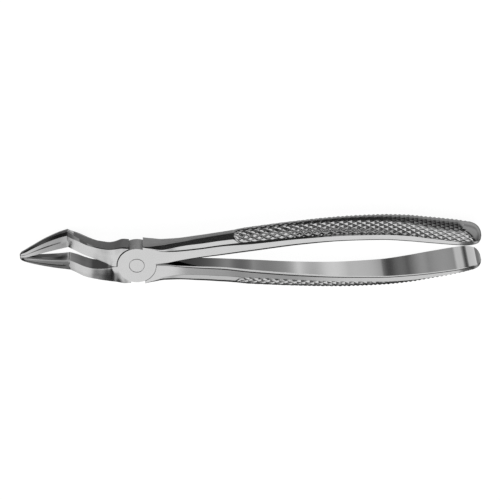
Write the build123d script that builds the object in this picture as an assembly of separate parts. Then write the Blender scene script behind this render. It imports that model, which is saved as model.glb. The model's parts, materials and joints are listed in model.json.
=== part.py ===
from build123d import *
import os

# Extraction forceps for upper roots, bayonet pattern: two crossed halves on one riveted box-lap joint.
# Joint frame while modelling: the hinge axis is Z at the origin, +X runs to the handle ends, +Y is the
# opening direction, and the front face of the joint looks along +Z. The last step lays the tool down.

# ---- driving dimensions, mm ----
JOINT_RADIUS = 7.35          # disc of each half, concentric with the hinge
JOINT_THICKNESS = 7.8        # both halves together
LAP_GAP = 0.04               # running gap between the two lap faces
BEAK_ARC_GAP = 0.42          # disc edge to the other half's beak shoulder
HANDLE_ARC_GAP = 0.2         # disc edge to the other half's handle shoulder
CLOSED_GAP = 0.04            # each half keeps this far from the closing plane y = 0
RIVET_HEAD_DIAMETER = 5.7    # flush heads on both faces
RIVET_HEAD_DEPTH = 1.5
RIVET_SHANK_DIAMETER = 4.2
RIVET_CLEARANCE = 0.05       # radial running fit in the front half
EDGE_BEVEL = 0.35            # inner edges of the handles
REST_TILT = 2.0              # degrees: handle ends sit lower than the joint when the tool lies down

# Handle stations: distance from the hinge, inner face, half width, top of the flat side,
# width of the step beside the crown, height of the crown.
HANDLE = [
    (2.7, 0.05, 3.90, 7.85, 0.02, 0.45),
    (6.0, 0.05, 3.90, 7.00, 0.03, 1.25),
    (10.4, 0.25, 3.90, 5.55, 0.22, 2.50),
    (16.5, 1.10, 3.87, 5.15, 0.55, 3.15),
    (24.0, 1.90, 3.85, 5.60, 0.55, 3.65),
    (32.0, 2.60, 3.90, 6.45, 0.60, 3.75),
    (44.5, 4.20, 4.60, 7.40, 1.00, 4.10),
    (62.0, 6.30, 5.15, 9.00, 0.85, 4.20),
    (81.0, 7.80, 6.05, 10.15, 0.65, 4.25),
    (94.0, 8.00, 6.90, 10.30, 0.55, 3.95),
    (104.0, 7.35, 7.70, 9.75, 0.45, 3.55),
    (112.0, 6.50, 8.35, 8.60, 0.35, 3.20),
    (122.0, 5.15, 8.70, 6.95, 0.30, 3.00),
    (127.0, 4.60, 8.20, 6.20, 0.25, 2.70),
    (130.2, 4.60, 6.90, 5.75, 0.20, 2.15),
    (131.6, 4.95, 4.60, 5.50, 0.15, 1.35),
    (132.1, 5.25, 2.20, 5.45, 0.10, 0.60),
]

# Beak stations: distance from the hinge, inner face, outer face, near edge, far edge, half width of
# the back band, how far the side face reaches out, how far the back leans to the rear.
SHANK = [
    (-2.7, 0.05, 7.80, 3.85, -3.85, 3.30, 6.80, 0.00),
    (-5.0, 0.05, 7.95, 3.85, -3.84, 3.30, 6.70, 0.20),
    (-8.5, 0.10, 7.30, 4.20, -3.95, 2.85, 5.90, 0.15),
    (-11.5, 1.15, 7.10, 3.05, -4.90, 2.60, 5.50, -0.55),
    (-14.5, 1.95, 7.15, 1.65, -5.70, 2.50, 5.50, -0.60),
    (-17.5, 2.45, 7.40, 0.20, -7.20, 2.40, 5.70, -0.20),
    (-20.5, 2.65, 7.75, -2.00, -9.40, 1.95, 6.00, 0.00),
    (-23.5, 2.80, 8.10, -4.90, -12.00, 1.55, 6.30, -0.15),
    (-26.5, 2.95, 8.50, -7.75, -14.10, 1.15, 6.40, 0.20),
]
BEAK = [
    (-26.5, 2.95, 8.50, -7.75, -14.10, 1.15, 6.40, 0.20),
    (-30.0, 2.50, 7.65, -7.25, -12.90, 1.05, 5.70, 0.65),
    (-35.0, 1.70, 6.00, -6.65, -11.40, 0.95, 4.30, 0.70),
    (-40.0, 0.80, 3.95, -6.10, -10.00, 0.75, 2.70, 0.35),
    (-43.5, 0.15, 2.30, -5.85, -9.10, 0.65, 1.50, 0.15),
    (-44.6, 0.10, 1.75, -6.05, -8.90, 0.50, 1.10, 0.10),
    (-45.15, 0.15, 1.25, -6.45, -8.55, 0.35, 0.80, 0.05),
    (-45.4, 0.30, 0.85, -7.00, -8.10, 0.20, 0.60, 0.00),
]
BEAK_HOLLOW = 0.35           # depth of the spoon in the inner face of the beak tips

HALF = JOINT_THICKNESS / 2
FAR = 400                    # longer than the tool, for cutting boxes


def handle_section(x, inner, half_width, side_top, step, crown):
    """D section of a handle across its length: flat inner face, flat sides, arched back."""
    bevel = min(EDGE_BEVEL, half_width / 4)
    shoulder_z = half_width - 0.75 * step
    shoulder_y = side_top + 0.65 * step
    corners = [
        (shoulder_z, shoulder_y), (half_width, side_top), (half_width, inner + bevel),
        (half_width - bevel, inner), (bevel - half_width, inner), (-half_width, inner + bevel),
        (-half_width, side_top), (-shoulder_z, shoulder_y),
    ]
    points = [Vector(x, y, z) for z, y in corners]
    edges = [Line(a, b) for a, b in zip(points, points[1:])]
    edges.append(ThreePointArc(points[-1], Vector(x, shoulder_y + crown, 0), points[0]))
    return Face(Wire(edges))


def beak_section(x, inner, outer, near, far, band, side_top, lean, hollow=0.0):
    """Section of a beak across its length: hollow or flat inner face, flat sides, narrower back."""
    middle = (near + far) / 2
    ridge = middle - lean
    knee_drop = 0.35 * (outer - side_top)
    near_inner, far_inner = Vector(x, inner, near), Vector(x, inner, far)
    near_side, far_side = Vector(x, side_top, near), Vector(x, side_top, far)
    near_back, far_back = Vector(x, outer, ridge + band), Vector(x, outer, ridge - band)
    near_knee = Vector(x, outer - knee_drop, (near + ridge + band) / 2 + 0.1)
    far_knee = Vector(x, outer - knee_drop, (far + ridge - band) / 2 - 0.1)
    back_mid = Vector(x, outer + 0.12, ridge)
    edges = [
        Line(near_inner, near_side),
        ThreePointArc(near_side, near_knee, near_back),
        ThreePointArc(near_back, back_mid, far_back),
        ThreePointArc(far_back, far_knee, far_side),
        Line(far_side, far_inner),
        ThreePointArc(far_inner, Vector(x, inner + max(hollow, 0.02), middle), near_inner),
    ]
    return Face(Wire(edges))


def handle_arm():
    """Upper handle from its shoulder to its rounded end."""
    return Solid.make_loft([handle_section(*s).outer_wire() for s in HANDLE]).fix()


def beak_arm():
    """Upper beak: curved shank down to the bend, then the straight tapering tip.

    The two share their section at the bend, so their skins are sewn there, without the end faces.
    """
    shank = Solid.make_loft([beak_section(*s).outer_wire() for s in SHANK])
    depths = [0.02, BEAK_HOLLOW, BEAK_HOLLOW, BEAK_HOLLOW, 0.5 * BEAK_HOLLOW, 0.02, 0.02, 0.02]
    tip = Solid.make_loft([beak_section(*s, hollow=d).outer_wire() for s, d in zip(BEAK, depths)], ruled=True)
    shank_skin = shank.faces().sort_by(Axis.X)[1:]
    tip_skin = tip.faces().sort_by(Axis.X)[:-1]
    return Solid(Shell(shank_skin + tip_skin))


def turned(radius, low, high):
    """Cylinder on the hinge axis between two heights."""
    return Pos(0, 0, (low + high) / 2) * Cylinder(radius, high - low)


def placed(arm, side):
    """Arm on its own side of the closing plane, kept clear of that plane."""
    own_side = Pos(0, CLOSED_GAP + FAR / 2, 0) * Box(FAR, FAR, FAR)
    kept = arm & own_side
    return kept if side > 0 else mirror(kept, Plane.XZ)


def half(beak_side, handle_side, face_side):
    """One forging. Sides are +1 or -1: where its beak, handle and disc lie."""
    handle = placed(handle_arm(), handle_side)
    below_face = Pos(0, 0, HALF - FAR / 2) * Box(FAR, FAR, FAR)
    beak = placed(beak_arm(), beak_side) & below_face
    lap = face_side * LAP_GAP / 2
    deep = -face_side * 2 * JOINT_THICKNESS
    low, high = min(lap, deep), max(lap, deep)
    handle -= turned(JOINT_RADIUS + HANDLE_ARC_GAP, low, high)
    beak -= turned(JOINT_RADIUS + BEAK_ARC_GAP, low, high)
    face = face_side * HALF
    disc = turned(JOINT_RADIUS, min(lap, face), max(lap, face))
    return disc + handle + beak


def rivet_recess(side, clearance):
    """Stepped hole for the rivet through one half."""
    head = RIVET_HEAD_DIAMETER / 2 + clearance
    shank = RIVET_SHANK_DIAMETER / 2 + clearance
    shelf = HALF - RIVET_HEAD_DEPTH - clearance
    recess = turned(head, min(side * shelf, side * FAR), max(side * shelf, side * FAR))
    return recess + turned(shank, min(0, side * HALF) - 1, max(0, side * HALF) + 1)


def rivet():
    """Pivot rivet: a shank with a flush head peened into each half."""
    shank = turned(RIVET_SHANK_DIAMETER / 2, -HALF, HALF)
    front = turned(RIVET_HEAD_DIAMETER / 2, HALF - RIVET_HEAD_DEPTH, HALF)
    rear = turned(RIVET_HEAD_DIAMETER / 2, -HALF, RIVET_HEAD_DEPTH - HALF)
    return shank + front + rear


def laid_down(shape, drop):
    """Turns the tool so that it rests on its beak bends and handle edges, on z = 0."""
    return Pos(0, 0, drop) * Rot(0, REST_TILT, 0) * shape


front_half = half(beak_side=-1, handle_side=1, face_side=1) - rivet_recess(1, RIVET_CLEARANCE)
rear_half = half(beak_side=1, handle_side=-1, face_side=-1) - rivet_recess(-1, 0)
parts = {"front_half": front_half, "rear_half": rear_half, "pivot_rivet": rivet()}

tilted = {name: laid_down(shape, 0) for name, shape in parts.items()}
lowest = min(shape.bounding_box().min.Z for shape in tilted.values())
box = Compound(list(tilted.values())).bounding_box()
middle_x = (box.min.X + box.max.X) / 2
os.makedirs("parts", exist_ok=True)
for name, shape in tilted.items():
    export_step(Pos(-middle_x, 0, -lowest) * shape, f"parts/{name}.step")
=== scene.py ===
import json
import math

import bmesh
import bpy
from mathutils import Matrix, Vector


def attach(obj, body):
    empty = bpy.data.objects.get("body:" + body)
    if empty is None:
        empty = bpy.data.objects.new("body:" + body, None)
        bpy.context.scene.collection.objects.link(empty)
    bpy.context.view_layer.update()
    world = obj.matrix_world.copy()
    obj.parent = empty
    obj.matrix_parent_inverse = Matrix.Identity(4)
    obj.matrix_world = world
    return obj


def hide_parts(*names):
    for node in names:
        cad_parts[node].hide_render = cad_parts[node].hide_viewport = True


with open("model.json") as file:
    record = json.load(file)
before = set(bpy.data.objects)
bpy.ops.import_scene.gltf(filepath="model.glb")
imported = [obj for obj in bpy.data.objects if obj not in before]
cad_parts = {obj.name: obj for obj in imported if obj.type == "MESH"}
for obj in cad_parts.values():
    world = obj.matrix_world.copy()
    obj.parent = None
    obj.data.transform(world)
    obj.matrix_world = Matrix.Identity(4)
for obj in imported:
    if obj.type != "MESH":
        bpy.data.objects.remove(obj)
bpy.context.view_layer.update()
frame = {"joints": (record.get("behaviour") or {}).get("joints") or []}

# ---- the joint frame: hinge axis Z, +X to the handle ends, +Y the opening direction, millimetres ----
MM = 0.001
hinge = next(j for j in frame["joints"] if j["name"] == "pivot_hinge")
axis_z = Vector(hinge["axis"]).normalized()
axis_y = Vector((0, 1, 0))
axis_x = axis_y.cross(axis_z)
to_row = Matrix.Translation(Vector(hinge["pos_m"]))
to_row = to_row @ Matrix((axis_x, axis_y, axis_z)).transposed().to_4x4() @ Matrix.Scale(MM, 4)

# ---- joint, mm ----
JOINT_RADIUS = 7.35
HALF_THICKNESS = 3.9
LAP_GAP = 0.04
BEAK_ARC_GAP = 0.42
HANDLE_ARC_GAP = 0.2
CLOSED_GAP = 0.04
RIVET_HEAD_RADIUS = 2.85
RIVET_CLEARANCE = 0.05
RIM_CHAMFER = 0.11
ROUND_STEPS = 192
CUT_DEPTH = 12               # deeper than a half is thick

# Handle stations: distance from the hinge, inner face, half width, top of the flat side,
# width of the step beside the crown, height of the crown.
HANDLE = [
    (2.7, 0.05, 3.90, 7.85, 0.02, 0.45),
    (6.0, 0.05, 3.90, 7.00, 0.03, 1.25),
    (10.4, 0.25, 3.90, 5.55, 0.22, 2.50),
    (16.5, 1.10, 3.87, 5.15, 0.55, 3.15),
    (24.0, 1.90, 3.85, 5.60, 0.55, 3.65),
    (32.0, 2.60, 3.90, 6.45, 0.60, 3.75),
    (44.5, 4.20, 4.60, 7.40, 1.00, 4.10),
    (62.0, 6.30, 5.15, 9.00, 0.85, 4.20),
    (81.0, 7.80, 6.05, 10.15, 0.65, 4.25),
    (94.0, 8.00, 6.90, 10.30, 0.55, 3.95),
    (104.0, 7.35, 7.70, 9.75, 0.45, 3.55),
    (112.0, 6.50, 8.35, 8.60, 0.35, 3.20),
    (122.0, 5.28, 8.70, 6.95, 0.30, 3.00),
    (127.0, 4.64, 8.20, 6.20, 0.25, 2.70),
    (130.2, 4.60, 6.90, 5.75, 0.20, 2.15),
    (131.6, 4.95, 4.60, 5.50, 0.15, 1.35),
    (132.1, 5.25, 2.20, 5.45, 0.10, 0.60),
]

# Beak stations: distance from the hinge, inner face, outer face, near edge, far edge,
# half width of the back band, how far the side face reaches out, how far the back leans rearwards.
SHANK = [
    (-26.5, 2.95, 8.50, -7.75, -14.10, 1.15, 6.40, 0.20),
    (-23.5, 2.80, 8.10, -4.90, -12.00, 1.55, 6.30, -0.15),
    (-20.5, 2.65, 7.75, -2.00, -9.40, 1.95, 6.00, 0.00),
    (-17.5, 2.45, 7.40, 0.20, -7.20, 2.40, 5.70, -0.20),
    (-14.5, 1.95, 7.15, 1.65, -5.70, 2.50, 5.50, -0.60),
    (-11.5, 1.15, 7.10, 3.05, -4.90, 2.60, 5.50, -0.55),
    (-8.5, 0.10, 7.30, 4.20, -3.95, 2.85, 5.90, 0.15),
    (-5.0, 0.05, 7.95, 3.85, -3.84, 3.30, 6.70, 0.20),
    (-2.7, 0.05, 7.80, 3.85, -3.85, 3.30, 6.80, 0.00),
]
TIP = [
    (-45.4, 0.30, 0.85, -7.00, -8.10, 0.20, 0.60, 0.00),
    (-45.15, 0.15, 1.25, -6.45, -8.55, 0.35, 0.80, 0.05),
    (-44.6, 0.10, 1.75, -6.05, -8.90, 0.50, 1.10, 0.10),
    (-43.5, 0.15, 2.30, -5.85, -9.10, 0.65, 1.50, 0.15),
    (-40.0, 0.80, 3.95, -6.10, -10.00, 0.75, 2.70, 0.35),
    (-35.0, 1.70, 6.00, -6.65, -11.40, 0.95, 4.30, 0.70),
    (-30.0, 2.50, 7.65, -7.25, -12.90, 1.05, 5.70, 0.65),
    (-26.5, 2.95, 8.50, -7.75, -14.10, 1.15, 6.40, 0.20),
]
TIP_HOLLOW = 0.35
SHANK_RINGS = 90
TIP_RINGS = 60
FLANK_CELLS = 3
BACK_CROWN = 0.08            # how far the back of a beak is crowned
# The side of a beak, at its distance from the hinge: shares of the rise from the inner to the outer
# face, and of the run from the near edge in to the back band.
SHANK_FLANKS = [
    (-26.5, [(0, 0), (0.05, 0), (0.42, 0.05), (0.60, 0.08), (0.80, 0.16), (1, 1)]),
    (-20.5, [(0, 0), (0.05, 0), (0.45, 0.05), (0.62, 0.07), (0.92, 0.16), (1, 1)]),
    (-14.0, [(0, 0), (0.05, 0), (0.45, 0.20), (0.65, 0.35), (0.96, 0.55), (1, 1)]),
    (-8.5, [(0, 0), (0.05, 0), (0.45, 0.35), (0.65, 0.55), (0.97, 0.80), (1, 1)]),
    (-2.7, [(0, 0), (0.05, 0), (0.45, 0.05), (0.65, 0.10), (0.95, 0.20), (1, 1)]),
]
TIP_FLANKS = [
    (-45.4, [(0, 0), (0.06, 0), (0.40, 0.12), (0.52, 0.28), (0.80, 0.50), (1, 1)]),
    (-36.0, [(0, 0), (0.06, 0), (0.43, 0.12), (0.545, 0.30), (0.85, 0.48), (1, 1)]),
    (-29.5, [(0, 0), (0.06, 0), (0.43, 0.12), (0.545, 0.29), (0.82, 0.46), (1, 1)]),
    (-26.5, [(0, 0), (0.06, 0), (0.43, 0.16), (0.545, 0.22), (0.80, 0.46), (1, 1)]),
]

# ---- cross-cut grip pattern, mm ----
DIAMOND_LENGTH = 3.38
DIAMOND_WIDTH = 1.95
DIAMOND_CELLS = 8            # mesh cells along and across one diamond
GRIP_START = 37.6
GRIP_END = 129.4
GRIP_END_ARCH = 3.6          # the pattern ends this much earlier along the middle of the back
GROOVE_NARROW, GROOVE_WIDE = 0.2, 0.5      # half widths near the neck and at the end, in grooves apart
GROOVE_SHALLOW, GROOVE_DEEP = 0.3, 0.66
GROOVE_GROWS = (45, 85)      # where along the handle the grooves grow from the first to the second
GRIP_FADE_IN = (-0.6, 0.8)   # from GRIP_START
GRIP_FADE_OUT = 2.0          # before the end
GRIP_ARCH_SPAN = (8, 1)      # round the back, where the early end sets in

# ---- strips of the handle's section, mm and degrees from the joint's front face ----
STEP_ANGLE, GRIP_STEP_ANGLE = 50, 44
NECK_FACET = 1.75            # bright strip above the step, on the neck only
NECK_FACET_ANGLE = 5
NECK_BAND_ANGLE = 42         # chamfer from that strip up to the back
NECK_BROW_DROP = 0.5         # and how far below the top of the back it stops
NECK_ARC_CELLS = 16
NECK_GROWS = (3.5, 21.0)     # where along the handle the bright strip widens
NECK_FADE = (37.2, 39.6)     # and where the neck's facets give way to the round grip
STEP_TURNS = (34, 44)        # where the step goes from STEP_ANGLE to GRIP_STEP_ANGLE
LIP_ANGLE = 32
LIP_INSET, SIDE_START = 0.08, 0.06      # lip to the side's plane, and lip to the flat side
SIDE_LEAN = [(2.7, 0), (10, 0), (20, 8), (55, 9), (82, 4), (132.1, 3)]
LIP_WIDTH = [(2.7, 0.25), (12, 0.3), (24, 0.7), (45, 1.05), (62, 1.0), (82, 0.6), (132.1, 0.5)]


def smoothstep(low, high, value):
    t = min(1.0, max(0.0, (value - low) / (high - low)))
    return t * t * (3 - 2 * t)


def interpolator(table):
    """Smooth, overshoot-free curves through the columns of a station table."""
    xs = [row[0] for row in table]
    columns = list(zip(*[row[1:] for row in table]))
    steps = [b - a for a, b in zip(xs, xs[1:])]
    slopes = []
    for ys in columns:
        rise = [(b - a) / h for a, b, h in zip(ys, ys[1:], steps)]
        tangent = [rise[0]]
        for r0, r1, h0, h1 in zip(rise, rise[1:], steps, steps[1:]):
            if r0 * r1 <= 0:
                tangent.append(0.0)
            else:
                w0, w1 = 2 * h1 + h0, h1 + 2 * h0
                tangent.append((w0 + w1) / (w0 / r0 + w1 / r1))
        tangent.append(rise[-1])
        slopes.append(tangent)

    def at(x):
        x = min(max(x, xs[0]), xs[-1])
        i = max(k for k in range(len(steps)) if xs[k] <= x or k == 0)
        h = steps[i]
        t = (x - xs[i]) / h
        values = []
        for ys, tangent in zip(columns, slopes):
            a = ys[i] * (1 + 2 * t) * (1 - t) ** 2 + ys[i + 1] * t * t * (3 - 2 * t)
            b = h * (tangent[i] * t * (1 - t) ** 2 - tangent[i + 1] * t * t * (1 - t))
            values.append(a + b)
        return values

    return at


def lerp(a, b, t):
    return (a[0] + (b[0] - a[0]) * t, a[1] + (b[1] - a[1]) * t)


def spread(a, b, count):
    """Points from a towards b, without b."""
    return [lerp(a, b, k / count) for k in range(count)]


def arc_through(start, end, bulge, count):
    """Points of the arc from start to end, without end, that stands bulge off its chord on the left."""
    if abs(bulge) < 1e-6:
        return spread(start, end, count)
    chord = math.dist(start, end)
    radius = (chord * chord / 4 + bulge * bulge) / (2 * abs(bulge))
    half_turn = 2 * math.atan2(abs(bulge) * 2, chord)
    ux, uy = (end[0] - start[0]) / chord, (end[1] - start[1]) / chord
    sign = 1 if bulge > 0 else -1
    points = []
    for k in range(count):
        turn = -half_turn + 2 * half_turn * k / count
        along = chord / 2 + radius * math.sin(turn)
        off = sign * (radius * math.cos(turn) - radius * math.cos(half_turn))
        points.append((start[0] + ux * along - uy * off, start[1] + uy * along + ux * off))
    return points


def groove_depth(x, s):
    """Depth of the cross-cut pattern at x along the handle and s round its back."""
    last = GRIP_END - GRIP_END_ARCH * smoothstep(*GRIP_ARCH_SPAN, abs(s))
    reach = smoothstep(GRIP_START + GRIP_FADE_IN[0], GRIP_START + GRIP_FADE_IN[1], x)
    reach *= smoothstep(last, last - GRIP_FADE_OUT, x)
    if reach <= 0:
        return 0.0
    u = x / DIAMOND_LENGTH + s / DIAMOND_WIDTH
    v = x / DIAMOND_LENGTH - s / DIAMOND_WIDTH
    nearest = min(abs(u - round(u)), abs(v - round(v)))
    filed = smoothstep(*GROOVE_GROWS, x)
    width = GROOVE_NARROW + (GROOVE_WIDE - GROOVE_NARROW) * filed
    depth = GROOVE_SHALLOW + (GROOVE_DEEP - GROOVE_SHALLOW) * filed
    return reach * depth * max(0.0, 1 - nearest / width)


handle_at = interpolator(HANDLE)
lip_at = interpolator(LIP_WIDTH)
lean_at = interpolator(SIDE_LEAN)
CELL_X = DIAMOND_LENGTH / DIAMOND_CELLS
CELL_S = DIAMOND_WIDTH / DIAMOND_CELLS
CROWN_CELLS = 46             # either side of the middle line
END_LENGTH = 3.5             # the rounded end of a handle, and its rings
END_RINGS = 14


def edge_step(start, width, angle):
    """Next point of the section: width further along a strip whose normal leans angle from Z to +Y."""
    lean = math.radians(angle)
    return (start[0] + width * math.cos(lean), start[1] - width * math.sin(lean))


def crown_arc(knee, top):
    """Radius, centre and half angle of the arc over the back, from knee up to the height top."""
    rise = max(top - knee[0], 0.05)
    radius = (knee[1] ** 2 + rise ** 2) / (2 * rise)
    return radius, top - radius, math.atan2(knee[1], knee[0] - top + radius)


def neck_back(edge, top, x):
    """Half of the neck's back, from its middle to edge: a list of points."""
    facet = NECK_FACET * smoothstep(*NECK_GROWS, x)
    knee = edge_step(edge, facet, NECK_FACET_ANGLE)
    drop = min(NECK_BROW_DROP, 0.5 * (top - edge[0]))
    band = max(0.05, top - drop - knee[0]) / math.cos(math.radians(NECK_BAND_ANGLE))
    brow = edge_step(knee, band, NECK_BAND_ANGLE)
    radius, centre, half_angle = crown_arc(brow, max(top, brow[0] + 0.12))
    arc = [(centre + radius * math.cos(half_angle * k / NECK_ARC_CELLS),
            radius * math.sin(half_angle * k / NECK_ARC_CELLS)) for k in range(NECK_ARC_CELLS)]
    rest = CROWN_CELLS - NECK_ARC_CELLS
    band_cells = rest // 2
    return arc + spread(brow, knee, band_cells) + spread(knee, edge, rest - band_cells) + [edge]


def handle_ring(x):
    """Closed section of the upper handle at x: points (y, z), round from the middle of the inner face."""
    inner, half_width, side_top, step, crown = handle_at(x)
    width = min(lip_at(x)[0], 0.5 * (side_top - inner), 0.4 * half_width)
    lip = (inner, half_width - LIP_INSET - width * math.sin(math.radians(LIP_ANGLE)))
    ledge = edge_step(lip, width, -LIP_ANGLE)
    side = (ledge[0] + SIDE_START, half_width)
    lean = math.tan(math.radians(lean_at(x)[0]))
    brink = (side_top, half_width - (side_top - side[0]) * lean)
    right = spread((inner, 0), lip, 6) + spread(lip, ledge, 2)
    right += spread(ledge, side, 1) + spread(side, brink, 6)
    step_angle = STEP_ANGLE + (GRIP_STEP_ANGLE - STEP_ANGLE) * smoothstep(*STEP_TURNS, x)
    edge = edge_step(brink, step, step_angle)
    right += spread(brink, edge, 1)
    top = edge[0] + crown
    radius, centre, half_angle = crown_arc(edge, top)
    half_arc = radius * half_angle
    neck = 1 - smoothstep(*NECK_FADE, x)
    faceted = neck_back(edge, top, x) if neck > 0 else None
    back = []
    for j in range(CROWN_CELLS, -CROWN_CELLS - 1, -1):
        s = max(-half_arc, min(half_arc, j * CELL_S))
        angle = s / radius
        depth = groove_depth(x, s)
        y = centre + (radius - depth) * math.cos(angle)
        z = (radius - depth) * math.sin(angle)
        if faceted:
            fy, fz = faceted[abs(j)]
            fz = math.copysign(fz, j)
            y, z = y + (fy - y) * neck, z + (fz - z) * neck
        back.append((y, z))
    left = [(y, -z) for y, z in reversed(right[1:])]
    return right, back, left


def ring_mesh(rings, split=None):
    """Closed mesh through a row of equal rings of 3D points, capped at both ends."""
    bm = bmesh.new()
    loops = [[bm.verts.new(p) for p in ring] for ring in rings]
    count = len(rings[0])
    for i in range(len(loops) - 1):
        for k in range(count):
            a, b = loops[i][k], loops[i][(k + 1) % count]
            c, d = loops[i + 1][(k + 1) % count], loops[i + 1][k]
            way = split(i, k) if split else 0
            if way == 0:
                bm.faces.new((a, b, c, d))
            elif way > 0:
                bm.faces.new((a, b, c))
                bm.faces.new((a, c, d))
            else:
                bm.faces.new((a, b, d))
                bm.faces.new((b, c, d))
    bm.faces.new(list(reversed(loops[0])))
    bm.faces.new(loops[-1])
    bmesh.ops.remove_doubles(bm, verts=bm.verts, dist=0.002)
    bmesh.ops.dissolve_degenerate(bm, dist=1e-5, edges=bm.edges)
    bmesh.ops.recalc_face_normals(bm, faces=bm.faces)
    return bm


def new_object(name, bm):
    """Object in the scene from a bmesh, which it uses up."""
    mesh = bpy.data.meshes.new(name)
    bm.to_mesh(mesh)
    bm.free()
    obj = bpy.data.objects.new(name, mesh)
    bpy.context.scene.collection.objects.link(obj)
    return obj


def handle_arm(side):
    """Handle on the side of y that side says, with its cross-cut back."""
    first, last = HANDLE[0][0], HANDLE[-1][0]
    start_cell = math.ceil(first / CELL_X)
    end_cell = math.floor((last - END_LENGTH) / CELL_X)
    xs = [first] + [k * CELL_X for k in range(start_cell, end_cell + 1)]
    edge = xs[-1]
    xs += [edge + (last - edge) * math.sin(k / END_RINGS * math.pi / 2) for k in range(1, END_RINGS + 1)]
    rings = []
    for x in xs:
        right, back, left = handle_ring(x)
        rings.append([(x, side * max(y, CLOSED_GAP), z) for y, z in right + back + left])
    offset = len(right)

    def split(i, k):
        j = CROWN_CELLS - (k - offset)
        if not GRIP_START - 1 < xs[i] < GRIP_END + 1 or not -CROWN_CELLS < j <= CROWN_CELLS:
            return 0
        x = (xs[i] + xs[i + 1]) / 2
        s = (j - 0.5) * CELL_S
        u = x / DIAMOND_LENGTH + s / DIAMOND_WIDTH
        v = x / DIAMOND_LENGTH - s / DIAMOND_WIDTH
        return 1 if abs(u - round(u)) < abs(v - round(v)) else -1

    return new_object("handle", ring_mesh(rings, split))


def flank_at(x, flanks):
    """The beak's side at x: points as shares of its rise to the back and of its run in to the back band."""
    spans = list(zip(flanks, flanks[1:]))
    (x0, first), (x1, second) = next(((a, b) for a, b in spans if x <= b[0]), spans[-1])
    t = smoothstep(x0, x1, x)
    return [lerp(p, q, t) for p, q in zip(first, second)]


def beak_ring(values, shares, hollow):
    """Closed section of the upper beak: points (y, z), round from the middle of the inner face."""
    inner, outer, near, far, band, side_top, lean = values
    middle, half = (near + far) / 2, (near - far) / 2

    def flank(shift):
        """The side from the middle of the inner face to the middle of the back, which shift moves."""
        points = arc_through((inner + hollow, 0), (inner, half), 0.1 * hollow, 6)
        back_edge = band + shift
        corners = [(inner + v * (outer - inner), half + w * (back_edge - half)) for v, w in shares]
        for a, b in zip(corners, corners[1:]):
            points += spread(a, b, FLANK_CELLS)
        points += spread(corners[-1], (outer + BACK_CROWN, shift), 4)
        return points

    near_flank, far_flank = flank(-lean), flank(lean)
    ring = near_flank + [(outer + BACK_CROWN, -lean)] + [(y, -z) for y, z in reversed(far_flank[1:])]
    return [(y, min(middle + z, HALF_THICKNESS)) for y, z in ring]


def beak_arm(side):
    """Beak on the side of y that side says: curved shank, crisp bend and tapering tip."""
    shank_at, tip_at = interpolator(SHANK), interpolator(TIP)
    bend, root, tip = SHANK[0][0], SHANK[-1][0], TIP[0][0]
    rings = []
    for k in range(SHANK_RINGS + 1):
        x = root + (bend - root) * k / SHANK_RINGS
        points = beak_ring(shank_at(x), flank_at(x, SHANK_FLANKS), 0.01)
        rings.append([(x, side * max(y, CLOSED_GAP), z) for y, z in points])
    for k in range(1, TIP_RINGS + 1):
        x = bend + (tip - bend) * k / TIP_RINGS
        hollow = TIP_HOLLOW * smoothstep(0, 0.5, k / TIP_RINGS) * smoothstep(1, 0.85, k / TIP_RINGS)
        points = beak_ring(tip_at(x), flank_at(x, TIP_FLANKS), max(hollow, 0.01))
        rings.append([(x, side * max(y, CLOSED_GAP), z) for y, z in points])
    return new_object("beak", ring_mesh(rings))


def turned(profile, name="turned"):
    """Solid of revolution about the hinge from a closed profile of (radius, z) points."""
    bm = bmesh.new()
    loops = []
    for k in range(ROUND_STEPS):
        turn = 2 * math.pi * k / ROUND_STEPS
        loops.append([bm.verts.new((r * math.cos(turn), r * math.sin(turn), z)) for r, z in profile])
    count = len(profile)
    for k in range(ROUND_STEPS):
        a, b = loops[k], loops[(k + 1) % ROUND_STEPS]
        for i in range(count):
            j = (i + 1) % count
            if profile[i][0] < 1e-6 and profile[j][0] < 1e-6:
                continue
            bm.faces.new((a[i], a[j], b[j], b[i]))
    bmesh.ops.remove_doubles(bm, verts=bm.verts, dist=1e-5)
    bmesh.ops.recalc_face_normals(bm, faces=bm.faces)
    return new_object(name, bm)


def combine(target, other, operation):
    """Joins other to target, or cuts it out, and drops other."""
    modifier = target.modifiers.new("cut", "BOOLEAN")
    modifier.operation = operation
    modifier.solver = "MANIFOLD"
    modifier.object = other
    graph = bpy.context.evaluated_depsgraph_get()
    mesh = bpy.data.meshes.new_from_object(target.evaluated_get(graph))
    target.modifiers.clear()
    target.data = mesh
    bpy.data.objects.remove(other)
    return target


def make_half(name, beak_side, handle_side, face_side):
    """One forging. Sides are +1 or -1: where its beak, handle and disc lie."""
    lap = face_side * LAP_GAP / 2
    face = face_side * HALF_THICKNESS
    deep = -face_side * CUT_DEPTH
    handle = handle_arm(handle_side)
    arc = JOINT_RADIUS + HANDLE_ARC_GAP
    handle = combine(handle, turned([(0, lap), (arc, lap), (arc, deep), (0, deep)]), "DIFFERENCE")
    beak = beak_arm(beak_side)
    arc = JOINT_RADIUS + BEAK_ARC_GAP
    beak = combine(beak, turned([(0, lap), (arc, lap), (arc, deep), (0, deep)]), "DIFFERENCE")
    disc = turned([(0, lap), (JOINT_RADIUS, lap), (JOINT_RADIUS, face), (0, face)])
    body = combine(combine(disc, handle, "UNION"), beak, "UNION")
    hole = RIVET_HEAD_RADIUS + RIVET_CLEARANCE
    proud = face + face_side
    well = turned([(0, -proud), (hole, -proud), (hole, face - face_side * RIM_CHAMFER),
                   (hole + RIM_CHAMFER, face), (hole + RIM_CHAMFER, proud), (0, proud)])
    body = combine(body, well, "DIFFERENCE")
    body.name = body.data.name = name
    return body


SHARP_ANGLE = math.radians(24)


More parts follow.
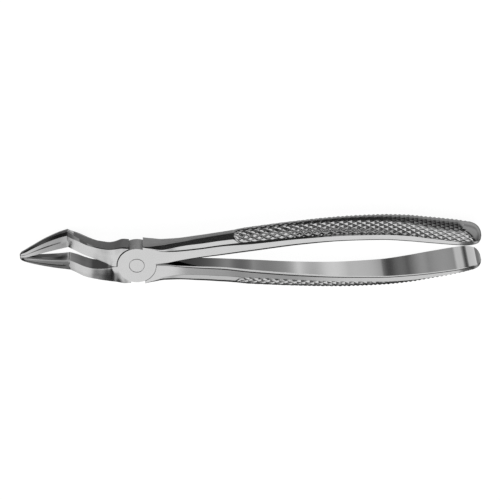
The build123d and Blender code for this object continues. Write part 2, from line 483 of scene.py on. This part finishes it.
def finish_mesh(obj):
    """Puts the mesh in the row frame, smooth but for its crisp edges."""
    obj.data.transform(to_row)
    obj.data.shade_smooth()
    obj.data.set_sharp_from_angle(angle=SHARP_ANGLE)


front = make_half("front_half_steel", beak_side=-1, handle_side=1, face_side=1)
rear = make_half("rear_half_steel", beak_side=1, handle_side=-1, face_side=-1)
rim = RIVET_HEAD_RADIUS - RIM_CHAMFER
edge = HALF_THICKNESS - RIM_CHAMFER
rivet_profile = [(0, HALF_THICKNESS), (rim, HALF_THICKNESS), (RIVET_HEAD_RADIUS, edge),
                 (RIVET_HEAD_RADIUS, -edge), (rim, -HALF_THICKNESS), (0, -HALF_THICKNESS)]
rivet = turned(rivet_profile, "pivot_rivet_steel")


def math_node(nodes, links, operation, *inputs):
    node = nodes.new("ShaderNodeMath")
    node.operation = operation
    for socket, value in zip(node.inputs, inputs):
        if isinstance(value, (int, float)):
            socket.default_value = value
        else:
            links.new(value, socket)
    return node.outputs["Value"]


def level_ramp(nodes, stops, low, high):
    """Colour ramp whose stops are given as (value, grey level) pairs between low and high."""
    ramp = nodes.new("ShaderNodeValToRGB")
    elements = ramp.color_ramp.elements
    elements[1].position = 1.0
    elements[0].position = 0.0
    for k, (value, level) in enumerate(stops):
        inside = 0 < k < len(stops) - 1
        place = (value - low) / (high - low)
        element = elements.new(place) if inside else elements[0 if k == 0 else len(elements) - 1]
        element.color = (level, level, level, 1)
    return ramp


# Noise scales, in waves to the metre along X, Y and Z.
POLISH_LINES, CLOUD, GRAIN = (150, 2500, 2500), (180, 180, 180), (3000, 5000, 5000)


def steel_material(name, tone, roughness, shares=None):
    """Satin-polished steel: fine polishing lines, slight unevenness, and painted shade as shares of its
    tone along X.
    """
    material = bpy.data.materials.new(name)
    material.use_nodes = True
    nodes, links = material.node_tree.nodes, material.node_tree.links
    shader = nodes["Principled BSDF"]
    shader.inputs["Metallic"].default_value = 1.0
    place = nodes.new("ShaderNodeTexCoord")

    def noise(scale, detail):
        """Noise of detail octaves, stretched by scale."""
        stretch = nodes.new("ShaderNodeMapping")
        stretch.inputs["Scale"].default_value = scale
        links.new(place.outputs["Object"], stretch.inputs["Vector"])
        texture = nodes.new("ShaderNodeTexNoise")
        texture.inputs["Scale"].default_value = 1.0
        texture.inputs["Detail"].default_value = detail
        links.new(stretch.outputs["Vector"], texture.inputs["Vector"])
        return texture.outputs["Fac"]

    lines, cloud, grain = noise(POLISH_LINES, 3.0), noise(CLOUD, 4.0), noise(GRAIN, 2.0)
    gloss = nodes.new("ShaderNodeMapRange")
    gloss.inputs["To Min"].default_value = roughness * 0.8
    gloss.inputs["To Max"].default_value = roughness * 1.3
    links.new(lines, gloss.inputs["Value"])
    links.new(gloss.outputs["Result"], shader.inputs["Roughness"])
    colour = nodes.new("ShaderNodeMix")
    colour.data_type = "RGBA"
    colour.inputs[6].default_value = (tone * 0.9, tone * 0.9, tone * 0.9, 1)
    colour.inputs[7].default_value = (tone * 1.08, tone * 1.08, tone * 1.08, 1)
    clouding = math_node(nodes, links, "MULTIPLY", cloud, 0.4)
    mottle = math_node(nodes, links, "MULTIPLY_ADD", grain, 0.6, clouding)
    links.new(mottle, colour.inputs["Factor"])
    tint = colour.outputs[2]
    # painted shade: the tone is multiplied by a ramp of shares along X
    if shares:
        sides = nodes.new("ShaderNodeSeparateXYZ")
        links.new(place.outputs["Object"], sides.inputs["Vector"])
        reach = math_node(nodes, links, "SUBTRACT", sides.outputs["X"], hinge["pos_m"][0])
        low, high = shares[0][0], shares[-1][0]
        place_along = nodes.new("ShaderNodeMapRange")
        place_along.inputs["From Min"].default_value = low * MM
        place_along.inputs["From Max"].default_value = high * MM
        links.new(reach, place_along.inputs["Value"])
        ramp = level_ramp(nodes, shares, low, high)
        links.new(place_along.outputs["Result"], ramp.inputs["Fac"])
        deep = nodes.new("ShaderNodeMix")
        deep.data_type = "RGBA"
        deep.blend_type = "MULTIPLY"
        deep.inputs["Factor"].default_value = 1.0
        links.new(ramp.outputs["Color"], deep.inputs[6])
        links.new(tint, deep.inputs[7])
        tint = deep.outputs[2]
    links.new(tint, shader.inputs["Base Color"])
    bump = nodes.new("ShaderNodeBump")
    bump.inputs["Strength"].default_value = 0.1
    bump.inputs["Distance"].default_value = 0.00002
    links.new(lines, bump.inputs["Height"])
    links.new(bump.outputs["Normal"], shader.inputs["Normal"])
    return material


# Painted shade, as shares of the steel's tone at mm along the tool: the inner faces, painted dark in the
# crotch and in the beak,
INNER_PAINTED_SHADE = [(-46, 0.25), (-30, 0.27), (-27, 1.0), (-22, 0.5), (-12, 0.85), (-8, 0.3), (0, 0.02),
               (19, 0.02), (24, 0.07), (32, 0.26), (40, 0.45), (47, 0.75), (55, 1.0), (133, 1.0)]
# and all other satin faces, with painted shade that makes them less bright along the tips.
SATIN_PAINTED_SHADE = [(-46, 0.95), (-40, 0.8), (-36, 0.62), (-30, 0.55), (-27, 0.7), (-24, 1.0), (133, 1.0)]
BRUSHED_FROM, BRUSHED_TO = -24.0, 37.0   # mm along the tool: backs left brushed beside the joint
BRUSHED_OUT = JOINT_RADIUS - 1.5         # and how far out they lie


def finish_of(face):
    """Index of the finish for a face in the joint frame: 0 satin, with painted shade at the tips, 1
    brushed, 2 inner face with painted shade, 3 back with painted shade.
    """
    x, y = face.center[:2]
    outward = face.normal.y * math.copysign(1, y)
    if abs(math.hypot(x, y) - JOINT_RADIUS) < 0.02 and abs(face.normal.z) < 0.5:
        return 1
    if outward > 0.93 and BRUSHED_FROM < x < BRUSHED_TO and abs(y) > BRUSHED_OUT:
        # on the beak side the brushed back takes a darker copy of the brushed steel: painted shade
        return 3 if x < 0 else 1
    if outward < -0.9 and abs(x) > JOINT_RADIUS:
        return 2
    return 0


# satin steel, with painted shade along the tips
steel = steel_material("satin_steel", 0.55, 0.16, SATIN_PAINTED_SHADE)
brushed = steel_material("brushed_steel", 0.5, 0.42)
# inner faces: steel with painted shade along X, darkest in the crotch and along the beaks
inner_steel_painted_shade = steel_material("inner_face_steel_painted_shade", 0.55, 0.07, INNER_PAINTED_SHADE)
# a darker copy of the brushed steel: painted shade on the backs beside the beak roots
painted_shade_back = steel_material("root_back_painted_shade_steel", 0.26, 0.42)
rivet_steel = steel_material("rivet_steel", 0.56, 0.18)
for piece, body, node, slot, materials in (
    (front, "front_body", "front_half", "forged_steel", (steel, brushed, inner_steel_painted_shade, painted_shade_back)),
    (rear, "rear_body", "rear_half", "forged_steel", (steel, brushed, inner_steel_painted_shade, painted_shade_back)),
    (rivet, "rear_body", "pivot_rivet", "rivet_steel", (rivet_steel,)),
):
    piece.data.materials.clear()
    for material in materials:
        piece.data.materials.append(material)
    for face in piece.data.polygons:
        face.material_index = finish_of(face) if len(materials) > 1 else 0
    finish_mesh(piece)
    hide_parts(node)
    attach(piece, body)

# ---- floor: plain, pale and lit so strongly that the tool hardly shades it ----
bm = bmesh.new()
bmesh.ops.create_grid(bm, x_segments=8, y_segments=8, size=2.0)
floor = new_object("floor", bm)
paper = bpy.data.materials.new("pale_floor")
paper.use_nodes = True
paper_shader = paper.node_tree.nodes["Principled BSDF"]
paper_shader.inputs["Base Color"].default_value = (0.2, 0.2, 0.2, 1)
paper_shader.inputs["Roughness"].default_value = 0.9
paper_shader.inputs["Specular IOR Level"].default_value = 0.0
paper_shader.inputs["Emission Color"].default_value = (1, 1, 1, 1)
paper_shader.inputs["Emission Strength"].default_value = 0.93
floor.data.materials.append(paper)
floor.visible_glossy = False

# ---- studio light, by direction: degrees round X from straight up towards +Y, and how bright ----
LIGHT_ROUND = [(-180, 0.40), (-152, 0.05), (-84, 0.05), (-74, 0.34), (-50, 0.42), (-38, 1.1), (-30, 1.15),
               (35, 1.15), (44, 0.03), (86, 0.03), (102, 0.34), (118, 0.42), (150, 0.5), (180, 0.45)]
# Low on the +Y side the light changes along X, from -1 to +1.
LIGHT_ALONG = [(-1.0, 0.3), (-0.45, 0.06), (-0.2, 0.14), (-0.14, 0.4), (-0.11, 0.9), (-0.09, 0.8),
               (-0.075, 0.36), (-0.06, 0.22), (-0.04, 0.1), (-0.02, 0.1), (0.016, 0.26), (0.028, 0.8),
               (0.044, 0.9), (0.07, 1.05), (0.086, 1.05), (0.092, 0.75), (0.097, 0.38), (0.13, 0.3),
               (0.6, 0.3), (1.0, 0.3)]
LOW_SIDE = [(-180, 0), (142, 0), (147, 1), (157, 1), (163, 0), (180, 0)]
# Towards the ends of the tool the light is a strip of its own, round X as above.
LIGHT_LEFT = [(-180, 0.1), (-125, 0.1), (-100, 1.1), (-40, 1.15), (38, 1.1), (60, 0.05),
              (120, 0.05), (180, 0.3)]
LIGHT_RIGHT = [(-180, 0.1), (-100, 0.4), (-40, 0.8), (40, 0.7), (100, 0.05), (180, 0.3)]
# Gaps between the lights, as shares taken off: along X, and the turns round X where they lie.
LEFT_GAP_ALONG = [(-1.0, 0), (-0.72, 0), (-0.58, 0.85), (-0.46, 1), (-0.24, 1), (-0.14, 0), (1.0, 0)]
LEFT_GAP_ROUND = [(-180, 0), (-125, 0), (-105, 1), (-42, 1), (-24, 0.25), (-10, 0), (180, 0)]
RIGHT_GAP_ALONG = [(-1.0, 0), (0.19, 0), (0.31, 0.88), (0.66, 0.88), (0.8, 0), (1.0, 0)]
RIGHT_GAP_ROUND = [(-180, 0), (-140, 0.3), (-95, 1), (60, 1), (100, 0), (180, 0)]
GAP_TONE = [(-180, 0.02), (180, 0.02)]


def blend_node(nodes, links, factor, first, second):
    node = nodes.new("ShaderNodeMix")
    node.data_type = "RGBA"
    links.new(factor, node.inputs["Factor"])
    links.new(first, node.inputs[6])
    links.new(second, node.inputs[7])
    return node.outputs[2]


def studio_world():
    """World with those lights for reflections, and plain white behind the tool."""
    world = bpy.data.worlds.new("studio")
    world.use_nodes = True
    nodes, links = world.node_tree.nodes, world.node_tree.links
    way = nodes.new("ShaderNodeTexCoord")
    parts = nodes.new("ShaderNodeSeparateXYZ")
    links.new(way.outputs["Generated"], parts.inputs["Vector"])
    turn = math_node(nodes, links, "ARCTAN2", parts.outputs["Y"], parts.outputs["Z"])
    around = math_node(nodes, links, "MULTIPLY_ADD", turn, 0.5 / math.pi, 0.5)
    along = math_node(nodes, links, "MULTIPLY_ADD", parts.outputs["X"], 0.5, 0.5)

    def tone_of(stops, value, span):
        ramp = level_ramp(nodes, stops, -span, span)
        links.new(value, ramp.inputs["Fac"])
        return ramp.outputs["Color"]

    tone = blend_node(nodes, links, tone_of(LOW_SIDE, around, 180), tone_of(LIGHT_ROUND, around, 180),
                      tone_of(LIGHT_ALONG, along, 1))
    for sign, stops in ((-1, LIGHT_LEFT), (1, LIGHT_RIGHT)):
        share = nodes.new("ShaderNodeMapRange")
        share.interpolation_type = "SMOOTHSTEP"
        share.inputs["From Min"].default_value = sign * 0.6
        share.inputs["From Max"].default_value = sign * 0.85
        links.new(parts.outputs["X"], share.inputs["Value"])
        tone = blend_node(nodes, links, share.outputs["Result"], tone, tone_of(stops, around, 180))
    for gap_along, gap_round in ((LEFT_GAP_ALONG, LEFT_GAP_ROUND), (RIGHT_GAP_ALONG, RIGHT_GAP_ROUND)):
        shares = (tone_of(gap_along, along, 1), tone_of(gap_round, around, 180))
        gap = math_node(nodes, links, "MULTIPLY", *shares)
        tone = blend_node(nodes, links, gap, tone, tone_of(GAP_TONE, around, 180))
    sky = nodes["Background"]
    links.new(tone, sky.inputs["Color"])
    pale = nodes.new("ShaderNodeBackground")
    pale.inputs["Color"].default_value = (1, 1, 1, 1)
    path = nodes.new("ShaderNodeLightPath")
    choose = nodes.new("ShaderNodeMixShader")
    links.new(path.outputs["Is Camera Ray"], choose.inputs["Fac"])
    links.new(sky.outputs["Background"], choose.inputs[1])
    links.new(pale.outputs["Background"], choose.inputs[2])
    links.new(choose.outputs["Shader"], nodes["World Output"].inputs["Surface"])
    return world


bpy.context.scene.world = studio_world()

# ---- camera ----
TILT = math.radians(30)      # the view leans this far from the hinge axis towards +Y
ROLL = math.radians(2.6)     # the handle ends sit higher in the picture
PICTURE_WIDTH = 192.0        # mm of object across the picture
AIM_RIGHT = 43.4             # mm from the hinge to the middle of the picture, along the picture
AIM_UP = 4.07                # and up the picture
LENS = 180.0
SENSOR = 36.0
back = Vector((0, math.sin(TILT), math.cos(TILT)))
flat_right = Vector((1, 0, 0))
flat_up = back.cross(flat_right)
right = flat_right * math.cos(ROLL) - flat_up * math.sin(ROLL)
up = flat_right * math.sin(ROLL) + flat_up * math.cos(ROLL)
turn_to_row = Matrix((axis_x, axis_y, axis_z)).transposed()
camera_data = bpy.data.cameras.new("camera")
camera_data.lens = LENS
camera_data.sensor_width = SENSOR
camera = bpy.data.objects.new("camera", camera_data)
bpy.context.scene.collection.objects.link(camera)
distance = PICTURE_WIDTH * MM * LENS / SENSOR
aim = to_row @ (right * AIM_RIGHT + up * AIM_UP)
rotation = Matrix((turn_to_row @ right, turn_to_row @ up, turn_to_row @ back)).transposed()
camera.matrix_world = Matrix.Translation(aim + (turn_to_row @ back) * distance) @ rotation.to_4x4()
camera_data.clip_start = 0.01
camera_data.clip_end = 20
bpy.context.scene.camera = camera
bpy.context.scene.view_settings.view_transform = "Standard"
